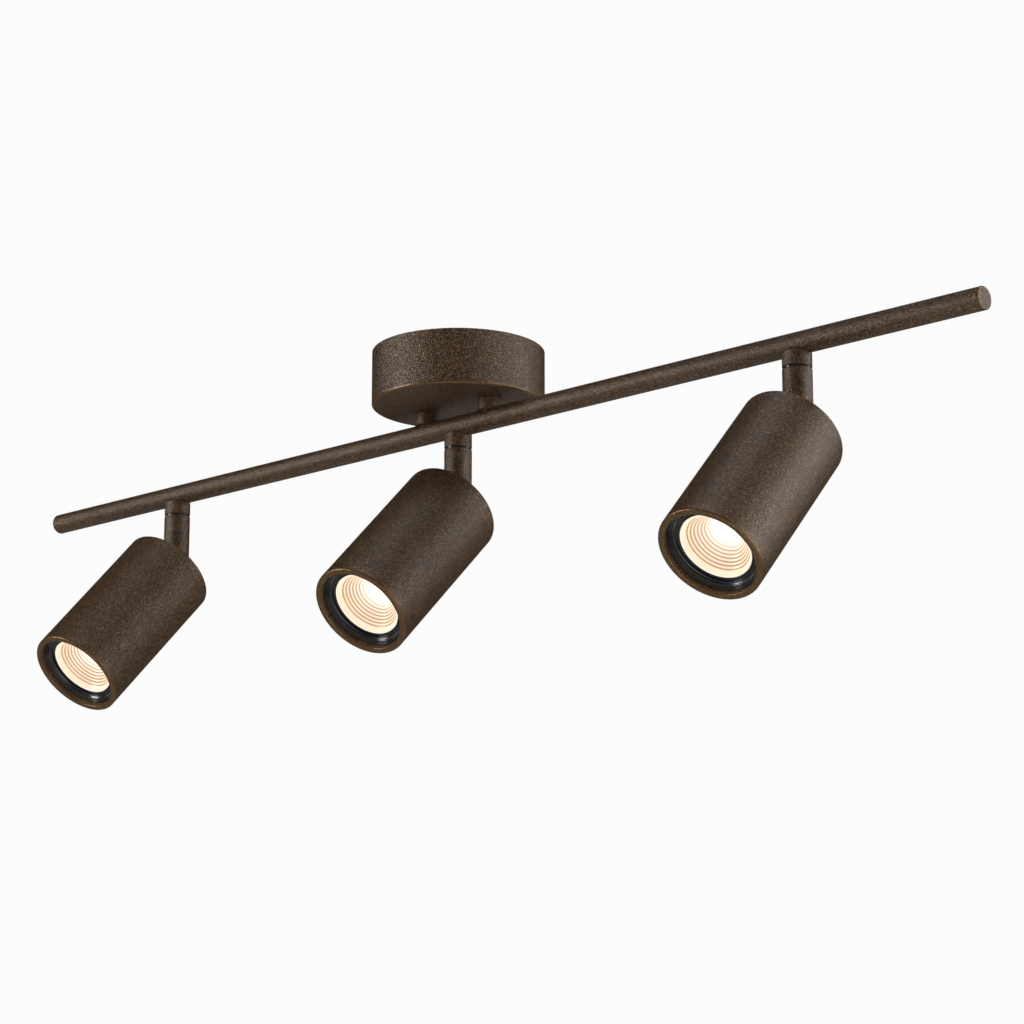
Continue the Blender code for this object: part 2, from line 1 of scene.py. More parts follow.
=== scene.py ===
"""Looks for the bar spotlight: smooth turned pieces, worked finishes, light and camera."""

import json
import math

import bmesh
import bpy
from mathutils import Matrix, Vector

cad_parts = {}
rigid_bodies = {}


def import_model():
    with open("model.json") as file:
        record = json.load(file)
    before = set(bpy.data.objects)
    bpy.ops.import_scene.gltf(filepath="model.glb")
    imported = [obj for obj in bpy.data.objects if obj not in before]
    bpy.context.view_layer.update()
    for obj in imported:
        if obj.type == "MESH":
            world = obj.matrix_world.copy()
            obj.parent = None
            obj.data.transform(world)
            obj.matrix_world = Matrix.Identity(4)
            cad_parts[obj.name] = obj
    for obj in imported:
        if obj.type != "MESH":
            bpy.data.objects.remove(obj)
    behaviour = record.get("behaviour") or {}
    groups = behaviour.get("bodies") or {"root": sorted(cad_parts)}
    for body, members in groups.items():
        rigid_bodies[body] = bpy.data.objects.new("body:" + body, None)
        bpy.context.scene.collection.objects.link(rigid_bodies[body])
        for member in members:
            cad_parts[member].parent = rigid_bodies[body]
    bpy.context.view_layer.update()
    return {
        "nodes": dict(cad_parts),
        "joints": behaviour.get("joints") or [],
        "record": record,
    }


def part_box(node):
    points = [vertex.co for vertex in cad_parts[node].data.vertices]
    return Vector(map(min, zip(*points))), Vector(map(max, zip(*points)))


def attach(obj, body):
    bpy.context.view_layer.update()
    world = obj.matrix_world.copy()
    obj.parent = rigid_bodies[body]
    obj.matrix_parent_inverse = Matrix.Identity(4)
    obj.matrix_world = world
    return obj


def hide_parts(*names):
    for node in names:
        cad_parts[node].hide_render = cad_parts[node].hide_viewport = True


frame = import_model()

MM = 0.001
SIDES = ("left", "middle", "right")
FINE, ROUND, SMALL = 160, 96, 48            # sides of turned pieces
COAT, ZINC, BLACK = "bronze_coat", "zinc_steel", "black_plastic"


# ---------------------------------------------------------------- node helpers
class Nodes:
    """Short calls for a node tree: add a node, set its inputs from values or other sockets."""

    def __init__(self, tree):
        self.tree = tree

    def add(self, kind, inputs=None, **settings):
        node = self.tree.nodes.new(kind)
        for key, value in settings.items():
            setattr(node, key, value)
        for key, value in (inputs or {}).items():
            self.feed(node.inputs[key], value)
        return node

    def feed(self, socket, value):
        if isinstance(value, bpy.types.NodeSocket):
            self.tree.links.new(value, socket)
        else:
            socket.default_value = value

    def maths(self, operation, *values):
        return self.add("ShaderNodeMath", dict(enumerate(values)), operation=operation).outputs[0]

    def mix(self, factor, first, second):
        """A colour between two others."""
        node = self.add("ShaderNodeMix", data_type="RGBA")
        for key, value in ((0, factor), (6, first), (7, second)):
            self.feed(node.inputs[key], value)
        return node.outputs[2]

    def ramp(self, value, low, high):
        """Value stretched so that low becomes 0 and high becomes 1."""
        return self.add("ShaderNodeMapRange", {0: value, 1: low, 2: high}).outputs[0]

    def blend(self, factor, low, high):
        """A number between low and high."""
        return self.add("ShaderNodeMapRange", {0: factor, 3: low, 4: high}).outputs[0]


def new_group(name, kind, inputs, outputs):
    """An empty node group with named sockets, and its input and output nodes."""
    tree = bpy.data.node_groups.new(name, kind)
    for label, socket, default in inputs:
        made = tree.interface.new_socket(label, in_out="INPUT", socket_type=socket)
        if default is not None:
            made.default_value = default
    for label, socket in outputs:
        tree.interface.new_socket(label, in_out="OUTPUT", socket_type=socket)
    nodes = Nodes(tree)
    return nodes, nodes.add("NodeGroupInput").outputs, nodes.add("NodeGroupOutput").inputs


# ---------------------------------------------------------------- shared surface effects
def grain_group():
    """Fine texture: a soft height for the bumps, and a level that changes grain by grain."""
    nodes, given, result = new_group(
        "coat grain", "ShaderNodeTree",
        [("Scale", "NodeSocketFloat", 900.0), ("Grain Size", "NodeSocketFloat", 0.6),
         ("Contrast", "NodeSocketFloat", 1.0)],
        [("Height", "NodeSocketFloat"), ("Level", "NodeSocketFloat")])
    place = nodes.add("ShaderNodeTexCoord").outputs["Object"]
    noise = nodes.add("ShaderNodeTexNoise",
                      {"Vector": place, "Scale": given["Scale"], "Detail": 1.0})
    grains = nodes.maths("DIVIDE", given["Scale"], given["Grain Size"])
    cells = nodes.add("ShaderNodeTexVoronoi", {"Vector": place, "Scale": grains})
    nodes.feed(result["Height"], nodes.ramp(noise.outputs[0], 0.3, 0.7))
    even = nodes.add("ShaderNodeSeparateColor", {0: cells.outputs["Color"]}).outputs[1]
    nodes.feed(result["Level"], nodes.maths("POWER", even, given["Contrast"]))
    return nodes.tree


def fleck_group():
    """Scattered metal flecks: one small dot in a share of the cells."""
    nodes, given, result = new_group(
        "metal flecks", "ShaderNodeTree",
        [("Scale", "NodeSocketFloat", 700.0), ("Share", "NodeSocketFloat", 0.2),
         ("Size", "NodeSocketFloat", 0.4)],
        [("Mask", "NodeSocketFloat")])
    place = nodes.add("ShaderNodeTexCoord").outputs["Object"]
    cells = nodes.add("ShaderNodeTexVoronoi", {"Vector": place, "Scale": given["Scale"]})
    pick = nodes.add("ShaderNodeSeparateColor", {0: cells.outputs["Color"]}).outputs[0]
    chosen = nodes.maths("LESS_THAN", pick, given["Share"])
    dot = nodes.maths("SUBTRACT", 1.0, nodes.ramp(cells.outputs["Distance"], 0.0, given["Size"]))
    nodes.feed(result["Mask"], nodes.maths("MULTIPLY", chosen, dot))
    return nodes.tree


def drift_group():
    """Slow, cloudy change over a surface, for uneven coating, dust and handling."""
    nodes, given, result = new_group(
        "surface drift", "ShaderNodeTree",
        [("Scale", "NodeSocketFloat", 20.0), ("Low", "NodeSocketFloat", 0.35),
         ("High", "NodeSocketFloat", 0.65)],
        [("Factor", "NodeSocketFloat")])
    place = nodes.add("ShaderNodeTexCoord").outputs["Object"]
    noise = nodes.add("ShaderNodeTexNoise",
                      {"Vector": place, "Scale": given["Scale"], "Detail": 1.0})
    nodes.feed(result["Factor"], nodes.ramp(noise.outputs[0], given["Low"], given["High"]))
    return nodes.tree


def rub_group():
    """Edge wear: the wear marked on the mesh, broken up by noise."""
    nodes, given, result = new_group(
        "edge rub", "ShaderNodeTree",
        [("Wear", "NodeSocketFloat", 0.0), ("Scale", "NodeSocketFloat", 500.0)],
        [("Mask", "NodeSocketFloat")])
    place = nodes.add("ShaderNodeTexCoord").outputs["Object"]
    fine = nodes.add("ShaderNodeTexNoise",
                     {"Vector": place, "Scale": given["Scale"], "Detail": 3.0})
    broad = nodes.add("ShaderNodeTexNoise", {"Vector": place, "Scale": 60.0})
    uneven = nodes.maths("ADD", nodes.blend(fine.outputs[0], -0.2, 0.2),
                         nodes.blend(broad.outputs[0], -0.3, 0.3))
    worn = nodes.maths("ADD", given["Wear"], nodes.maths("MULTIPLY", uneven, given["Wear"]))
    nodes.feed(result["Mask"], nodes.ramp(worn, 0.12, 0.9))
    return nodes.tree


GRAIN, FLECKS, DRIFT, RUB = grain_group(), fleck_group(), drift_group(), rub_group()


def set_group(nodes, tree, inputs):
    """One use of a shared effect, with its own values."""
    node = nodes.add("ShaderNodeGroup", node_tree=tree)
    for key, value in inputs.items():
        nodes.feed(node.inputs[key], value)
    return node


def new_material(name, roughness, metallic=0.0, **sockets):
    """A material with a Principled shader whose constant values are set on its sockets."""
    material = bpy.data.materials.new(name)
    material.use_nodes = True
    nodes = Nodes(material.node_tree)
    shader = material.node_tree.nodes["Principled BSDF"]
    shader.inputs["Roughness"].default_value = roughness
    shader.inputs["Metallic"].default_value = metallic
    for key, value in sockets.items():
        shader.inputs[key.replace("_", " ")].default_value = value
    return material, nodes, shader


def marks(nodes):
    """The rub, the groove mark that sets painted groove shade, and the glow mark that sets painted
    glow on the reflector and the emitter's warmth, marked on a turned mesh.
    """
    vector = nodes.add("ShaderNodeAttribute", attribute_name="marks").outputs["Vector"]
    return nodes.add("ShaderNodeSeparateXYZ", {0: vector}).outputs


def bump(nodes, shader, height, distance, strength=1.0):
    made = nodes.add("ShaderNodeBump",
                     {"Height": height, "Distance": distance, "Strength": strength})
    nodes.feed(shader.inputs["Normal"], made.outputs[0])


# ---------------------------------------------------------------- finishes
def bronze_coat():
    """Dark bronze textured powder coat with copper flecks, rubbed to copper on the edges."""
    material, nodes, shader = new_material("dark bronze coat", 0.38, Specular_IOR_Level=0.5,
                                           Specular_Tint=(1.0, 0.93, 0.84, 1))
    grain = set_group(nodes, GRAIN, {"Scale": 1350.0, "Grain Size": 0.75, "Contrast": 3.0})
    flecks = set_group(nodes, FLECKS, {"Scale": 1050.0, "Share": 0.2, "Size": 0.55}).outputs[0]
    drift = set_group(nodes, DRIFT, {"Scale": 9.0}).outputs[0]
    rub = set_group(nodes, RUB, {"Wear": marks(nodes)[0], "Scale": 900.0}).outputs[0]
    level = grain.outputs["Level"]
    cool = nodes.mix(level, (0.0085, 0.0043, 0.0018, 1), (0.150, 0.080, 0.036, 1))
    warm = nodes.mix(level, (0.0092, 0.0046, 0.0019, 1), (0.160, 0.085, 0.037, 1))
    flecked = nodes.mix(nodes.maths("MULTIPLY", flecks, 0.8), nodes.mix(drift, cool, warm),
                        (0.44, 0.215, 0.075, 1))
    copper = nodes.mix(level, (0.095, 0.052, 0.021, 1), (0.19, 0.108, 0.048, 1))
    nodes.feed(shader.inputs["Base Color"], nodes.mix(rub, flecked, copper))
    metal = nodes.maths("MAXIMUM", nodes.maths("MULTIPLY", flecks, 0.4), rub)
    nodes.feed(shader.inputs["Metallic"], nodes.blend(metal, 0.05, 0.65))
    rubbed = nodes.maths("MULTIPLY", rub, -0.12)
    rough = nodes.maths("ADD", nodes.blend(level, 0.42, 0.34), rubbed)
    nodes.feed(shader.inputs["Roughness"], rough)
    smooth = nodes.blend(rub, 1.0, 0.25)
    bump(nodes, shader, nodes.maths("MULTIPLY", grain.outputs["Height"], smooth), 0.19 * MM)
    return material


def plated_steel():
    """Zinc-plated steel with faint rolling grain and a cloudy shine."""
    material, nodes, shader = new_material("plated steel", 0.5, 0.85)
    drift = set_group(nodes, DRIFT, {"Scale": 60.0}).outputs[0]
    grain = set_group(nodes, GRAIN, {"Scale": 1500.0})
    zinc = nodes.mix(drift, (0.26, 0.26, 0.25, 1), (0.31, 0.31, 0.295, 1))
    nodes.feed(shader.inputs["Base Color"], zinc)
    nodes.feed(shader.inputs["Roughness"], nodes.blend(drift, 0.46, 0.56))
    bump(nodes, shader, grain.outputs["Height"], 0.03 * MM, 0.5)
    return material


def moulded(name, dark, light, roughness, grain_scale=1800.0, depth=0.02, **sockets):
    """A moulded or fired material: slight drift of colour and shine over a fine grain."""
    material, nodes, shader = new_material(name, roughness, **sockets)
    drift = set_group(nodes, DRIFT, {"Scale": 90.0}).outputs[0]
    grain = set_group(nodes, GRAIN, {"Scale": grain_scale})
    nodes.feed(shader.inputs["Base Color"], nodes.mix(drift, (*dark, 1), (*light, 1)))
    nodes.feed(shader.inputs["Roughness"], nodes.blend(drift, roughness * 0.85, roughness * 1.2))
    bump(nodes, shader, grain.outputs["Height"], depth * MM, 0.5)
    return material


def painted_glow_reflector():
    """Ridged metal with a painted glow: its emission stands in for the lamp's warm light reflected
    off the cup, white-hot towards the throat, with painted shade in the groove valleys.
    """
    material, nodes, shader = new_material("lit reflector", 0.3, 0.3, Emission_Strength=1.0)
    _, groove_painted_shade, glow = marks(nodes)
    drift = set_group(nodes, DRIFT, {"Scale": 150.0}).outputs[0]
    # painted glow: the band's emission colour stands in for reflected lamp light
    band = nodes.mix(drift, (0.90, 0.75, 0.56, 1), (0.96, 0.81, 0.62, 1))
    crest_painted_glow = nodes.mix(nodes.ramp(glow, 0.1, 0.6), band, (1.0, 0.9, 0.78, 1))
    # painted shade: darker brown emission in the groove valleys
    valley_painted_shade = nodes.mix(nodes.ramp(glow, 0.3, 1.0), (0.50, 0.22, 0.045, 1), (0.8, 0.62, 0.42, 1))
    light = nodes.mix(groove_painted_shade, crest_painted_glow, valley_painted_shade)
    # painted highlight: white-hot emission towards the throat
    hot = nodes.mix(nodes.ramp(glow, 0.55, 0.95), light, (1.5, 1.4, 1.25, 1))
    nodes.feed(shader.inputs["Emission Color"], hot)
    # painted shade: base colour darker in the grooves
    metal = nodes.mix(groove_painted_shade, (0.18, 0.15, 0.12, 1), (0.02, 0.01, 0.004, 1))
    nodes.feed(shader.inputs["Base Color"], metal)
    nodes.feed(shader.inputs["Roughness"], nodes.blend(drift, 0.25, 0.38))
    return material


def glowing_chip():
    """Phosphor face of the emitter: white-hot, slightly warmer towards its rim."""
    material, nodes, shader = new_material("glowing chip", 0.5, Emission_Strength=3.0)
    _, _, glow = marks(nodes)
    speck = set_group(nodes, GRAIN, {"Scale": 2500.0}).outputs["Level"]
    warm = nodes.mix(glow, (1.0, 0.72, 0.38, 1), (1.0, 0.90, 0.72, 1))
    light = nodes.mix(nodes.maths("MULTIPLY", speck, 0.1), warm, (1.0, 0.7, 0.3, 1))
    nodes.feed(shader.inputs["Emission Color"], light)
    powder = nodes.mix(speck, (0.9, 0.75, 0.3, 1), (0.8, 0.6, 0.2, 1))
    nodes.feed(shader.inputs["Base Color"], powder)
    return material


FINISHES = {
    COAT: bronze_coat(),
    ZINC: plated_steel(),
    BLACK: moulded("gloss black", (0.006, 0.007, 0.009), (0.011, 0.012, 0.015), 0.18,
                   1400.0, 0.0005),
    "green_screw": moulded("green earth screw", (0.015, 0.16, 0.05), (0.03, 0.26, 0.08), 0.35,
                           1500.0, 0.02, Metallic=0.7),
    "ivory_plastic": moulded("ivory plastic", (0.68, 0.64, 0.53), (0.78, 0.74, 0.63), 0.5),
    "lead_sheath": moulded("black lead", (0.02, 0.02, 0.02), (0.035, 0.035, 0.035), 0.5),
    "white_ceramic": moulded("white ceramic", (0.74, 0.71, 0.64), (0.84, 0.82, 0.76), 0.45,
                             1200.0, 0.05),
    "lamp_aluminium": moulded("cast aluminium", (0.5, 0.5, 0.5), (0.62, 0.62, 0.62), 0.4,
                              900.0, 0.08, Metallic=0.95),
    "bright_reflector": painted_glow_reflector(),
    "warm_emitter": glowing_chip(),
}


# ---------------------------------------------------------------- shape helpers
def lathe_tree():
    """Geometry nodes: sweeps a profile line in the XZ plane, with its marks, about Z."""
    nodes, given, result = new_group(
        "lathe", "GeometryNodeTree",
        [("Profile", "NodeSocketGeometry", None), ("Sides", "NodeSocketInt", 64),
         ("Finish", "NodeSocketMaterial", None)],
        [("Body", "NodeSocketGeometry")])
    size = nodes.add("GeometryNodeAttributeDomainSize", {0: given["Profile"]}, component="MESH")
    rows = size.outputs["Point Count"]
    columns = nodes.maths("ADD", given["Sides"], 1.0)
    sheet = nodes.add("GeometryNodeMeshGrid", {"Vertices X": columns, "Vertices Y": rows})
    index = nodes.add("GeometryNodeInputIndex").outputs[0]
    row = nodes.maths("MODULO", index, rows)
    column = nodes.maths("FLOOR", nodes.maths("DIVIDE", index, rows))
    angle = nodes.maths("DIVIDE", nodes.maths("MULTIPLY", column, math.tau), given["Sides"])
    spot = sample(nodes, given["Profile"], nodes.add("GeometryNodeInputPosition").outputs[0], row)
    flat = nodes.add("ShaderNodeSeparateXYZ", {0: spot}).outputs
    around = [nodes.maths("MULTIPLY", flat[0], nodes.maths(turn, angle))
              for turn in ("COSINE", "SINE")]
    target = nodes.add("ShaderNodeCombineXYZ", {0: around[0], 1: around[1], 2: flat[2]}).outputs[0]
    named = nodes.add("GeometryNodeInputNamedAttribute", {"Name": "marks"},
                      data_type="FLOAT_VECTOR")
    drawn = sample(nodes, given["Profile"], named.outputs[0], row)
    kept = nodes.add("GeometryNodeStoreNamedAttribute",
                     {"Geometry": sheet.outputs[0], "Name": "marks", "Value": drawn},
                     data_type="FLOAT_VECTOR", domain="POINT")
    bent = nodes.add("GeometryNodeSetPosition", {"Geometry": kept.outputs[0], "Position": target})
    closed = nodes.add("GeometryNodeMergeByDistance",
                       {"Geometry": bent.outputs[0], "Distance": 0.002 * MM})
    real = nodes.add("GeometryNodeRealizeInstances", {"Geometry": closed.outputs[0]})
    finished = nodes.add("GeometryNodeSetMaterial",
                         {"Geometry": real.outputs[0], "Material": given["Finish"]})
    nodes.feed(result["Body"], finished.outputs[0])
    return nodes.tree


def sample(nodes, geometry, value, index):
    """A vector field's value at one point of another geometry."""
    made = nodes.add("GeometryNodeSampleIndex",
                     {"Geometry": geometry, "Value": value, "Index": index},
                     data_type="FLOAT_VECTOR")
    return made.outputs[0]


LATHE = lathe_tree()


def arc(centre_r, centre_z, radius, start, end, steps, rub=0.0):
    """Profile points of an arc; angles in degrees from the outward direction."""
    points = []
    for i in range(steps + 1):
        a = math.radians(start + (end - start) * i / steps)
        points.append((centre_r + radius * math.cos(a), centre_z + radius * math.sin(a), rub))
    return points


def turned(outline, sides, finish=COAT):
    """A mesh spun from (radius, height, rub, painted groove shade, glow) points; later values may
    be left out.
    """
    if outline[0][0] > 0.0 or outline[-1][0] > 0.0:
        outline = outline + [outline[0]]
    profile = bpy.data.meshes.new("profile")
    profile.from_pydata([(p[0], 0.0, p[1]) for p in outline],
                        [(i, i + 1) for i in range(len(outline) - 1)], [])
    attribute = profile.attributes.new("marks", "FLOAT_VECTOR", "POINT")
    for item, point in zip(attribute.data, outline):
        item.vector = (tuple(point[2:]) + (0.0, 0.0, 0.0))[:3]
    blank = bpy.data.objects.new("blank", profile)
    bpy.context.scene.collection.objects.link(blank)
    lathe = blank.modifiers.new("lathe", "NODES")
    lathe.node_group = LATHE
    sockets = {item.name: item.identifier for item in LATHE.interface.items_tree
               if item.in_out == "INPUT"}
    lathe[sockets["Sides"]] = sides
    lathe[sockets["Finish"]] = FINISHES[finish]
    return outward(baked(blank))


def baked(obj):
    """The evaluated mesh of an object, which is then removed."""
    bpy.context.view_layer.update()
    graph = bpy.context.evaluated_depsgraph_get()
    mesh = bpy.data.meshes.new_from_object(
        obj.evaluated_get(graph), preserve_all_data_layers=True, depsgraph=graph)
    bpy.data.objects.remove(obj, do_unlink=True)
    return mesh


def outward(mesh):
    """The mesh with all its faces turned outward."""
    bm = bmesh.new()
    bm.from_mesh(mesh)
    bmesh.ops.remove_doubles(bm, verts=bm.verts, dist=0.001 * MM)
    bmesh.ops.recalc_face_normals(bm, faces=bm.faces)
    bm.to_mesh(mesh)
    bm.free()
    return mesh


def moved(mesh, matrix):
    mesh.transform(matrix)
    return mesh


def lying(x=0.0, y=0.0, z=0.0):
    """Turns what was spun about Z to lie along X."""
    return Matrix.Translation((x, y, z)) @ Matrix.Rotation(math.pi / 2, 4, "Y")


def worked(mesh, cutters, operation="DIFFERENCE", bevel=0.0):
    """The mesh with others cut away from it or joined to it, and its edges broken."""
    scene = bpy.context.scene.collection.objects
    body = bpy.data.objects.new("blank", mesh)
    scene.link(body)
    tools = []
    for cutter in cutters:
        tool = bpy.data.objects.new("cutter", cutter)
        scene.link(tool)
        cut = body.modifiers.new("cut", "BOOLEAN")
        cut.operation = operation
        cut.object = tool
        tools.append(tool)
    if bevel:
        edge = body.modifiers.new("edge", "BEVEL")
        edge.width = bevel
        edge.segments = 2
        edge.angle_limit = math.radians(50)
    result = baked(body)
    for tool in tools:
        bpy.data.objects.remove(tool, do_unlink=True)
    return result


def drill(radius, low, high, sides=SMALL):
    """A solid cylinder about Z, for cutting a hole."""
    return turned([(0.0, high), (radius, high), (radius, low), (0.0, low)], sides)


def block(low, high):
    """A box between two corners."""
    bm = bmesh.new()
    bmesh.ops.create_cube(bm, size=1.0)
    for vert in bm.verts:
        vert.co = Vector([low[i] if vert.co[i] < 0 else high[i] for i in range(3)])
    mesh = bpy.data.meshes.new("block")
    bm.to_mesh(mesh)
    bm.free()
    return mesh


def piece(name, mesh, body, nodes, finish=COAT):
    """A finished piece that stands for CAD nodes and rides on their body."""
    mesh.materials.clear()
    mesh.materials.append(FINISHES[finish])
    mesh.shade_smooth()
    mesh.set_sharp_from_angle(angle=math.radians(35))
    made = bpy.data.objects.new(name, mesh)
    bpy.context.scene.collection.objects.link(made)
    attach(made, body)
    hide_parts(*nodes)


# ---------------------------------------------------------------- places, read from the frame
JOINTS = {joint["name"]: joint for joint in frame["joints"]}
BASE = "canopy_and_bar"
BAR_LOW, BAR_HIGH = (Vector(corner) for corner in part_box("bar_tube"))
BAR_Z = (BAR_LOW.z + BAR_HIGH.z) / 2
BAR_RADIUS = (BAR_HIGH.z - BAR_LOW.z) / 2
CANOPY_LOW, CANOPY_HIGH = (Vector(corner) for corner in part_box("canopy_cover"))
STEM_BORE = 5.3 * MM                 # radius of the hole through collars, washers and turning stems
PIVOT_HOLE = 2.3 * MM                # radius of the hole for the pivot screw
PIVOT_REACH = 8.2 * MM               # from the middle of a swivel to the ends of its pivot screw


def centre(node):
    low, high = (Vector(corner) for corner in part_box(node))
    return (low + high) / 2


def swivel_matrix(side):
    """Pan frame: its origin is the tilt pivot and -Y points where the head aims."""
    axis = Vector(JOINTS[f"tilt_{side}"]["axis"])
    pan = math.atan2(-axis.y, -axis.x)
    return Matrix.Translation(JOINTS[f"tilt_{side}"]["pos_m"]) @ Matrix.Rotation(pan, 4, "Z")


def head_matrix(side):
    """Head frame: the light axis is -Z and the tilt pivot is the origin."""
    tilt = math.radians(JOINTS[f"tilt_{side}"]["range_deg"][0])
    return swivel_matrix(side) @ Matrix.Rotation(tilt, 4, "X")


def spans(node, matrix):
    """Lowest and highest corner of a CAD node, measured along another frame's axes."""
    inverse = matrix.inverted()
    points = [inverse @ vert.co for vert in frame["nodes"][node].data.vertices]
    return [Vector([pick(p[i] for p in points) for i in range(3)]) for pick in (min, max)]


# ---------------------------------------------------------------- canopy
def canopy_cover():
    """Drum with a small rounded lower edge, rubbed to copper, and a turned-in top rim."""
    r, low, high = CANOPY_HIGH.x, CANOPY_LOW.z, CANOPY_HIGH.z
    wall, edge = 1.2 * MM, 1.3 * MM
    outline = [(0.0, low + wall), (r - wall - edge, low + wall)]
    outline += arc(r - wall - edge, low + wall + edge, edge, -90, 0, 4)[1:]
    outline += [(r - wall, high), (r - 0.3 * MM, high, 0.2), (r, high - 0.3 * MM, 0.1),
                (r, high - 2 * MM)]
    outline += [(r, low + edge + 1.6 * MM, 0.0), (r, low + edge + 0.5 * MM, 0.3)]
    outline += arc(r - edge, low + edge, edge, 0, -90, 8, 0.7)
    outline += [(r - edge - 0.8 * MM, low, 0.25), (r - edge - 2 * MM, low, 0.0)]
    outline += [(r * f, low, 0.0) for f in (0.75, 0.5, 0.25, 0.0)]
    piece("canopy_drum", turned(outline, FINE), BASE, ["canopy_cover"])


def ceiling_plate():
    """Dished plate with a wire opening and two slots for the outlet box screws."""
    low, high = (Vector(corner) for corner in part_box("ceiling_plate"))
    r, t, bend = high.x, 1.5 * MM, 1.2 * MM
    opening, opening_y = 12 * MM, 24 * MM
    slot, slot_x, slot_length = 2.5 * MM, 39.7 * MM, 2.9       # length in widths
    outline = [(0.0, high.z)] + arc(r - bend, high.z - bend, bend, 90, 0, 5)
    outline += [(r, low.z), (r - t, low.z)]
    outline += [(r - t, high.z - t - 0.4 * MM), (r - t - 0.4 * MM, high.z - t), (0.0, high.z - t)]
    plate = turned(outline, FINE, ZINC)
    cuts = [moved(drill(opening, -5 * MM, 5 * MM), Matrix.Translation((0, opening_y, 0)))]
    for way in (-1, 1):
        middle = Matrix.Translation((way * slot_x, 0, 0))
        stretch = Matrix.Diagonal((slot_length, 1.0, 1.0, 1.0))
        cuts.append(moved(drill(slot, -5 * MM, 5 * MM), middle @ stretch))
    piece("ceiling_dish", worked(plate, cuts), BASE, ["ceiling_plate"], ZINC)


def dome_screw(head, height, shank, length):
    """Domed screw with a cross recess, its seat at z = 0."""
    outline = [(0.0, -length), (shank, -length), (shank, 0.0), (head, 0.0), (head, height * 0.3)]
    for i in range(1, 7):
        a = math.pi / 2 * i / 6
        outline.append((head * math.cos(a), height * (0.3 + 0.7 * math.sin(a)), 0.3))
    outline[-1] = (0.0, height)
    arm, half, deep = head * 0.62, 0.35 * MM, height * 0.45
    slots = [block((-arm, -half, deep), (arm, half, height * 2)),
             block((-half, -arm, deep), (half, arm, height * 2))]
    return worked(turned(outline, SMALL), slots)


def canopy_screws():
    """The two screws in the drum's side, their heads just clear of it."""
    for number in (1, 2):
        node = f"canopy_screw_{number}"
        spot = centre(node)
        azimuth = math.atan2(spot.y, spot.x)
        seat = CANOPY_HIGH.x + 0.1 * MM
        place = Matrix.Translation((seat * math.cos(azimuth), seat * math.sin(azimuth), spot.z))
        turn = Matrix.Rotation(azimuth, 4, "Z") @ Matrix.Rotation(math.pi / 2, 4, "Y")
        screw = dome_screw(head=3 * MM, height=1.8 * MM, shank=1.5 * MM, length=6 * MM)
        piece(f"side_screw_{number}", moved(screw, place @ turn), BASE, [node])


def seated_tube(radius, bore, low, high, soft=0.25 * MM):
    """Short tube with softened ends, to be saddled to the bar."""
    outline = [(bore, low), (radius - soft, low, 0.3), (radius, low + soft, 0.5),
               (radius, low + 2 * soft)]
    outline += [(radius, (low + high) / 2), (radius, high - 2 * soft), (radius, high - soft, 0.5)]
    outline += [(radius - soft, high, 0.3), (bore, high)]
    return turned(outline, ROUND)


def saddled(tube, x):
    """The tube cut away where the bar passes, a hair clear of it."""
    half = 40 * MM
    space = drill(BAR_RADIUS + 0.02 * MM, -half, half, ROUND)
    return worked(tube, [moved(space, lying(x, 0, BAR_Z))])


def canopy_stems():
    for side in ("left", "right"):
        node = f"canopy_stem_{side}"
        low, high = (Vector(corner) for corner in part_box(node))
        x, r = (low.x + high.x) / 2, (high.x - low.x) / 2
        tube = moved(seated_tube(r, 5.2 * MM, low.z, CANOPY_LOW.z), Matrix.Translation((x, 0, 0)))
        piece(f"short_stem_{side}", saddled(tube, x), BASE, [node])


# ---------------------------------------------------------------- bar
def bar_tube():
    half, r, wall = BAR_HIGH.x, BAR_RADIUS, 1.2 * MM
    outline = [(r - wall, half), (r - 0.1 * MM, half, 0.3), (r, half - 0.1 * MM, 0.3)]
    outline += [(r, half * i / 20) for i in range(19, -20, -1)]
    outline += [(r, -half + 0.1 * MM, 0.3), (r - 0.1 * MM, -half, 0.3), (r - wall, -half)]
    piece("long_bar", moved(turned(outline, ROUND), lying(0, 0, BAR_Z)), BASE, ["bar_tube"])


def end_caps():
    """Flat plugs with a broken edge, pressed into the bar's ends."""
    edge, plug, depth = 0.7 * MM, 5.5 * MM, 10 * MM
    for side, way in (("left", -1), ("right", 1)):
        node = f"end_cap_{side}"
        low, high = (Vector(corner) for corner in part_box(node))
        reach = high.x if way > 0 else -low.x
        r, seat = BAR_RADIUS, BAR_HIGH.x + 0.05 * MM
        outline = [(0.0, reach), (r * 0.6, reach), (r - edge - 0.6 * MM, reach, 0.1)]
        outline += arc(r - edge, reach - edge, edge, 90, 0, 6, 0.55)
        outline += [(r, seat, 0.1), (plug, seat), (plug, reach - depth), (0.0, reach - depth)]
        place = Matrix.Translation((0, 0, BAR_Z)) @ Matrix.Rotation(way * math.pi / 2, 4, "Y")
        piece(f"flat_end_{side}", moved(turned(outline, ROUND), place), BASE, [node])


# ---------------------------------------------------------------- swivels
def swivel_collar(side):
    node = f"swivel_collar_{side}"
    low, high = (Vector(corner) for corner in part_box(node))
    x, r = (low.x + high.x) / 2, (high.x - low.x) / 2
    tube = moved(seated_tube(r, STEM_BORE, low.z, high.z), Matrix.Translation((x, 0, 0)))
    piece(f"collar_{side}", saddled(tube, x), BASE, [node])


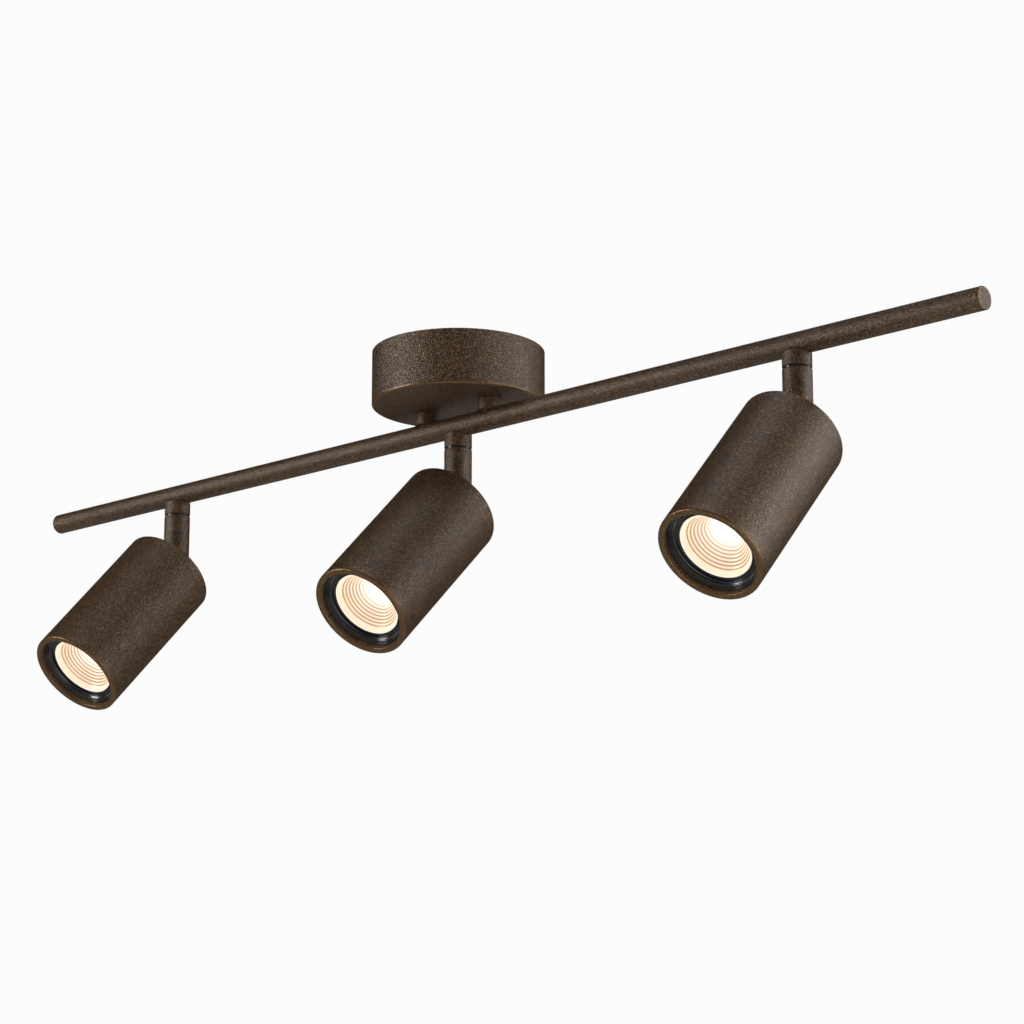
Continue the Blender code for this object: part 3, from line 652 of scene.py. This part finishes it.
def swivel(side):
    """Friction washer, ball-ended stem, pivot screw and nut of one head."""
    body, matrix = f"swivel_{side}", swivel_matrix(side)
    low, high = spans(f"friction_washer_{side}", matrix)
    r = high.x
    washer = [(STEM_BORE, low.z), (r, low.z), (r, high.z), (STEM_BORE, high.z)]
    piece(f"seam_washer_{side}", moved(turned(washer, ROUND, BLACK), matrix), body,
          [f"friction_washer_{side}"], BLACK)
    high = spans(f"swivel_stem_{side}", matrix)[1]
    r, top, soft, bore, deep = high.x, high.z, 0.25 * MM, 3 * MM, 10 * MM
    outline = [(bore, 0.0), (bore, top - deep), (STEM_BORE, top - deep), (STEM_BORE, top)]
    outline += [(r - soft, top, 0.4), (r, top - soft, 0.5), (r, top - 2 * soft)]
    outline += [(r, top * f) for f in (0.75, 0.5, 0.25)] + arc(0, 0, r, 0, -70, 16) + [(bore, -r)]
    half_slot, slot_top, seat, seat_x = 3.3 * MM, 8.5 * MM, 3.4 * MM, 9.3 * MM
    slot = block((-half_slot, -2 * r, -2 * r), (half_slot, 2 * r, slot_top))
    cuts = [slot, moved(drill(PIVOT_HOLE, -2 * r, 2 * r), lying())]
    cuts += [moved(drill(4 * MM, -seat, seat), lying(way * seat_x)) for way in (-1, 1)]
    fork = worked(turned(outline, ROUND), cuts)
    piece(f"fork_stem_{side}", moved(fork, matrix), body, [f"swivel_stem_{side}"])
    screw = [(0.0, PIVOT_REACH), (3.2 * MM, PIVOT_REACH, 0.5), (3.6 * MM, 7.8 * MM, 0.5),
             (3.6 * MM, 6.2 * MM), (2 * MM, 6.2 * MM), (2 * MM, -8 * MM), (0.0, -8 * MM)]
    key = turned([(0.0, 10 * MM), (1.6 * MM, 10 * MM), (1.6 * MM, 7 * MM), (0.0, 7 * MM)], 6)
    bolt = worked(turned(screw, SMALL, ZINC), [key])
    across = matrix @ lying()
    piece(f"pivot_bolt_{side}", moved(bolt, across), body, [f"pivot_screw_{side}"], ZINC)
    nut = turned([(0.0, -6.2 * MM), (3.5 * MM, -6.2 * MM), (3.7 * MM, -6.5 * MM),
                  (3.7 * MM, -7.9 * MM), (3.5 * MM, -PIVOT_REACH), (0.0, -PIVOT_REACH)], 6, ZINC)
    nut = worked(nut, [drill(PIVOT_HOLE, -10 * MM, 0.0)])
    piece(f"pivot_hex_nut_{side}", moved(nut, across), body, [f"pivot_nut_{side}"], ZINC)


# ---------------------------------------------------------------- lamp heads
def lamp_can(side, matrix, mouth):
    """Deep can: crisp rear edge, thick rounded rim rubbed to copper, satin inside."""
    high = spans(f"lamp_housing_{side}", matrix)[1]
    r, rear = high.x, high.z
    edge, soft, lip = 0.6 * MM, 1.2 * MM, 0.5 * MM     # roundings: rear edge, rim, rim's inside
    bore, inside, hole, back_wall = 28.5 * MM, 30.5 * MM, 5.2 * MM, 2.5 * MM
    outline = [(hole, rear), (r * 0.5, rear), (r - edge - MM, rear, 0.1)]
    outline += arc(r - edge, rear - edge, edge, 90, 0, 5, 0.45)
    outline += [(r, rear - edge - 1.2 * MM, 0.0)]
    length = rear - mouth
    outline += [(r, rear - length * i / 12) for i in range(1, 10)] + [(r, mouth + 18 * MM)]
    outline += [(r, mouth + 11 * MM, 0.12), (r, mouth + 5 * MM, 0.22), (r, mouth + 1.8 * MM, 0.4)]
    outline += arc(r - soft, mouth + soft, soft, 0, -90, 7, 0.75)
    outline += [(r - 1.6 * MM, mouth, 0.6), (bore + 1.2 * MM, mouth + 0.1 * MM, 0.6)]
    outline += arc(bore + lip, mouth + 0.1 * MM + lip, lip, -90, -180, 7, 1.0)
    outline += [(bore, mouth + 1.1 * MM, 0.3), (bore, mouth + 3.6 * MM, 0.2),
                (bore, mouth + 13 * MM, 0.1)]
    outline += [(inside, mouth + 15 * MM), (inside, rear - back_wall), (hole, rear - back_wall)]
    piece(f"can_{side}", moved(turned(outline, FINE), matrix), f"head_{side}",
          [f"lamp_housing_{side}"])


def baffle_ring(side, matrix, mouth):
    """Gloss black ring: fine outer ridges, a hollow, a thin raised line and an inner lip."""
    high = spans(f"front_ring_{side}", matrix)[1]
    outer, back, inner = high.x, high.z, 25.4 * MM
    ridges, pitch, step = 4, 0.5 * MM, 0.5 * MM
    outline = [(outer, back), (outer, mouth + 3.7 * MM)]
    r, d = outer, 3.7 * MM
    for _ in range(ridges):
        outline += [(r - 0.12 * MM, mouth + d - 0.08 * MM), (r - 0.34 * MM, mouth + d - 0.06 * MM),
                    (r - 0.42 * MM, mouth + d + 0.42 * MM)]
        r, d = r - pitch, d + step
    line_r, line_d = 24.9 * MM, 6.9 * MM
    for i in range(9):
        t = i / 8
        sag = math.sin(math.pi * t) * 0.35 * MM
        outline.append((r + (line_r - r) * t, mouth + d + (line_d - d) * t + sag))
    outline += arc(line_r - 0.18 * MM, mouth + line_d, 0.2 * MM, 0, -180, 6)
    outline += [(24.5 * MM, mouth + 8.0 * MM), (23.4 * MM, mouth + 8.2 * MM)]
    outline += arc(22.8 * MM, mouth + 8.0 * MM, 0.35 * MM, 0, -180, 6)
    outline += [(22.4 * MM, mouth + 8.6 * MM), (inner, mouth + 8.6 * MM), (inner, back)]
    piece(f"baffle_{side}", moved(turned(outline, FINE, BLACK), matrix), f"head_{side}",
          [f"front_ring_{side}"], BLACK)


def ridged_reflector(side, matrix, mouth):
    """Plain band under a thin rim, then rounded ridges with fine grooves down to the throat."""
    ridges, steps, height = 10, 8, 0.3 * MM
    rim, thick, recess = 22.0 * MM, 0.55 * MM, 7.5 * MM
    band_r, band_d = 19.6 * MM, 11.6 * MM              # radius and depth where the ridges begin
    throat_r, throat_d = 5.2 * MM, 27.8 * MM           # and where they end
    # the fourth and fifth values of a point mark painted groove shade and painted glow
    outline = [(rim, mouth + recess, 0, 0, 0.5), (rim - 0.45 * MM, mouth + recess, 0, 0, 0.5)]
    outline += [(rim - thick, mouth + recess + 0.5 * MM, 0, 0.0, 0.0)]
    for i in range(1, 6):
        t = i / 6
        outline.append((rim - thick + (band_r - rim + thick) * t ** 1.3,
                        mouth + recess + (band_d - recess) * t, 0, 0.0, 0.0))
    slope = math.atan2(throat_d - band_d, band_r - throat_r)
    for ridge in range(ridges):
        for step in range(steps):
            t = (ridge + step / steps) / ridges
            swell = math.sin(math.pi * step / steps)
            # painted shade in each groove valley; painted glow grows towards the throat
            groove_painted_shade = min(1.0, (1.0 - swell) * 1.2)
            r = band_r + (throat_r - band_r) * t - height * swell * math.sin(slope)
            d = band_d + (throat_d - band_d) * t - height * swell * math.cos(slope)
            outline.append((r, mouth + d, 0, groove_painted_shade, 0.1 + 0.9 * t))
    outline += [(throat_r, mouth + throat_d, 0, 0, 1.0), (6.8 * MM, mouth + throat_d),
                (21.2 * MM, mouth + 12.6 * MM), (rim, mouth + 9.6 * MM)]
    piece(f"ridged_cup_{side}", moved(turned(outline, FINE, "bright_reflector"), matrix),
          f"head_{side}", [f"reflector_{side}"], "bright_reflector")


def chip(side, matrix):
    """Domed phosphor face on its disc."""
    low, high = spans(f"emitter_{side}", matrix)
    r, front, back = high.x, low.z, high.z
    outline = [(0.0, back), (r, back), (r, front + 0.4 * MM), (r * 0.8, front + 0.3 * MM)]
    outline += [(r * 0.8 * math.cos(a), front + 0.3 * MM * (1 - math.sin(a)), 0, 0, math.sin(a))
                for a in (math.pi / 2 * i / 6 for i in range(1, 6))]
    outline.append((0.0, front, 0, 0, 1.0))
    face = turned(outline, SMALL, "warm_emitter")
    piece(f"chip_{side}", moved(face, matrix), f"head_{side}", [f"emitter_{side}"], "warm_emitter")


def knuckle_tongue(side, matrix):
    """Round-ended tongue with broken edges on a hollow spigot."""
    low, high = spans(f"rear_tongue_{side}", matrix)
    r, half = high.z, high.x
    foot = spans(f"lamp_housing_{side}", matrix)[1].z + 0.05 * MM
    bm = bmesh.new()
    ring = [(r * math.cos(math.pi * i / 32), r * math.sin(math.pi * i / 32)) for i in range(33)]
    ring += [(-r, foot), (r, foot)]
    face = bm.faces.new([bm.verts.new((-half, y, z)) for y, z in ring])
    grown = bmesh.ops.extrude_face_region(bm, geom=[face])["geom"]
    far = [item for item in grown if isinstance(item, bmesh.types.BMVert)]
    bmesh.ops.translate(bm, vec=(2 * half, 0, 0), verts=far)
    bmesh.ops.recalc_face_normals(bm, faces=bm.faces)
    plate = bpy.data.meshes.new("plate")
    bm.to_mesh(plate)
    bm.free()
    plate = worked(plate, [], bevel=0.4 * MM)
    neck = 4.9 * MM
    spigot = turned([(0.0, low.z), (neck, low.z), (neck, foot + MM), (0.0, foot + MM)], SMALL)
    tongue = worked(plate, [spigot], "UNION")
    wire_way = drill(2 * MM, -30 * MM, -6 * MM)
    pivot = moved(drill(PIVOT_HOLE, -20 * MM, 20 * MM), lying())
    tongue = worked(tongue, [wire_way, pivot])
    piece(f"tongue_{side}", moved(tongue, matrix), f"head_{side}", [f"rear_tongue_{side}"])


def lamp_head(side):
    """All the pieces of one head."""
    matrix = head_matrix(side)
    mouth = spans(f"lamp_housing_{side}", matrix)[0].z
    lamp_can(side, matrix, mouth)
    baffle_ring(side, matrix, mouth)
    ridged_reflector(side, matrix, mouth)
    chip(side, matrix)
    knuckle_tongue(side, matrix)


def finish_inner_pieces():
    """Hidden pieces keep their solid shape and get the finish of their slot."""
    slots = {part["node"]: part["material_slot"] for part in frame["record"]["subparts"]}
    for name, node in frame["nodes"].items():
        node.data.materials.clear()
        node.data.materials.append(FINISHES[slots[name]])


# ---------------------------------------------------------------- studio
VIEW_TURN = math.radians(42.306)     # camera's heading, from +Y towards -X
VIEW_RISE = math.radians(13.7)       # camera looks up
VIEW_POINT = (1.2665, -1.3395, -0.5564)
LENS = 103.13
FLOOR_Z, FLOOR_HALF = -2.4, 12.0     # metres
SOFTBOXES = (                        # azimuth and elevation in degrees, metres away, metres across
    ("left_strip", -80, 8, 1.9, 0.6, 1.0, 25),
    ("right_strip", 54, 2, 1.9, 0.35, 1.4, 19),
    ("rear_strip", 94, 14, 1.9, 0.3, 1.2, 14),
    ("overhead", 10, 84, 2.0, 0.9, 0.9, 10),
    ("low_fill", -15, -50, 1.9, 1.6, 1.6, 12),
)


def camera():
    data = bpy.data.cameras.new("camera")
    data.lens = LENS
    data.sensor_width = 36.0
    data.clip_end = 50.0
    made = bpy.data.objects.new("camera", data)
    made.location = VIEW_POINT
    made.rotation_euler = (math.pi / 2 + VIEW_RISE, 0, VIEW_TURN)
    bpy.context.scene.collection.objects.link(made)
    bpy.context.scene.camera = made


def floor():
    """Wide pale floor far below the object, brighter when seen than as a light."""
    bm = bmesh.new()
    bmesh.ops.create_grid(bm, x_segments=1, y_segments=1, size=FLOOR_HALF)
    mesh = bpy.data.meshes.new("floor")
    bm.to_mesh(mesh)
    bm.free()
    material, nodes, shader = new_material("pale floor", 0.8, Emission_Strength=1.0)
    drift = set_group(nodes, DRIFT, {"Scale": 2.0}).outputs[0]
    paint = nodes.mix(drift, (0.80, 0.80, 0.79, 1), (0.84, 0.84, 0.83, 1))
    nodes.feed(shader.inputs["Base Color"], paint)
    seen = nodes.add("ShaderNodeLightPath").outputs["Is Camera Ray"]
    glow = nodes.mix(seen, (0.2, 0.19, 0.18, 1), (0.62, 0.62, 0.61, 1))
    nodes.feed(shader.inputs["Emission Color"], glow)
    mesh.materials.append(material)
    made = bpy.data.objects.new("floor", mesh)
    made.location.z = FLOOR_Z
    bpy.context.scene.collection.objects.link(made)


def softbox(name, azimuth, elevation, distance, width, height, power):
    """Area light aimed at the object; azimuth is measured from the camera's side."""
    data = bpy.data.lights.new(name, "AREA")
    data.shape = "RECTANGLE"
    data.size, data.size_y, data.energy = width, height, power
    heading = VIEW_TURN - math.pi / 2 + math.radians(azimuth)
    rise = math.radians(elevation)
    away = Vector((math.cos(heading) * math.cos(rise), math.sin(heading) * math.cos(rise),
                   math.sin(rise)))
    made = bpy.data.objects.new(name, data)
    made.location = away * distance + Vector((0, 0, -0.1))
    made.rotation_euler = away.to_track_quat("Z", "Y").to_euler()
    bpy.context.scene.collection.objects.link(made)


def studio_light():
    """Near-white surround, felt only as a dim warm light, and the soft area lights."""
    scene = bpy.context.scene
    scene.view_settings.view_transform = "Standard"
    world = bpy.data.worlds.new("studio")
    world.use_nodes = True
    scene.world = world
    nodes = Nodes(world.node_tree)
    world.node_tree.nodes.clear()
    seen = nodes.add("ShaderNodeBackground", {"Color": (0.973, 0.973, 0.973, 1), "Strength": 1.0})
    ahead = Vector((-math.sin(VIEW_TURN), math.cos(VIEW_TURN), 0.25)).normalized()
    way = nodes.add("ShaderNodeTexCoord").outputs["Generated"]
    facing = nodes.add("ShaderNodeVectorMath", {0: way, 1: ahead}, operation="DOT_PRODUCT")
    dim = nodes.blend(nodes.ramp(facing.outputs["Value"], 0.1, 0.8), 0.14, 0.0)
    felt = nodes.add("ShaderNodeBackground", {"Color": (1.0, 0.94, 0.87, 1), "Strength": dim})
    ray = nodes.add("ShaderNodeLightPath").outputs["Is Camera Ray"]
    both = nodes.add("ShaderNodeMixShader", {0: ray, 1: felt.outputs[0], 2: seen.outputs[0]})
    nodes.add("ShaderNodeOutputWorld", {"Surface": both.outputs[0]})
    for row in SOFTBOXES:
        softbox(*row)


# ---------------------------------------------------------------- build
finish_inner_pieces()
canopy_cover()
ceiling_plate()
canopy_screws()
canopy_stems()
bar_tube()
end_caps()
for side in SIDES:
    swivel_collar(side)
    swivel(side)
    lamp_head(side)
camera()
floor()
studio_light()
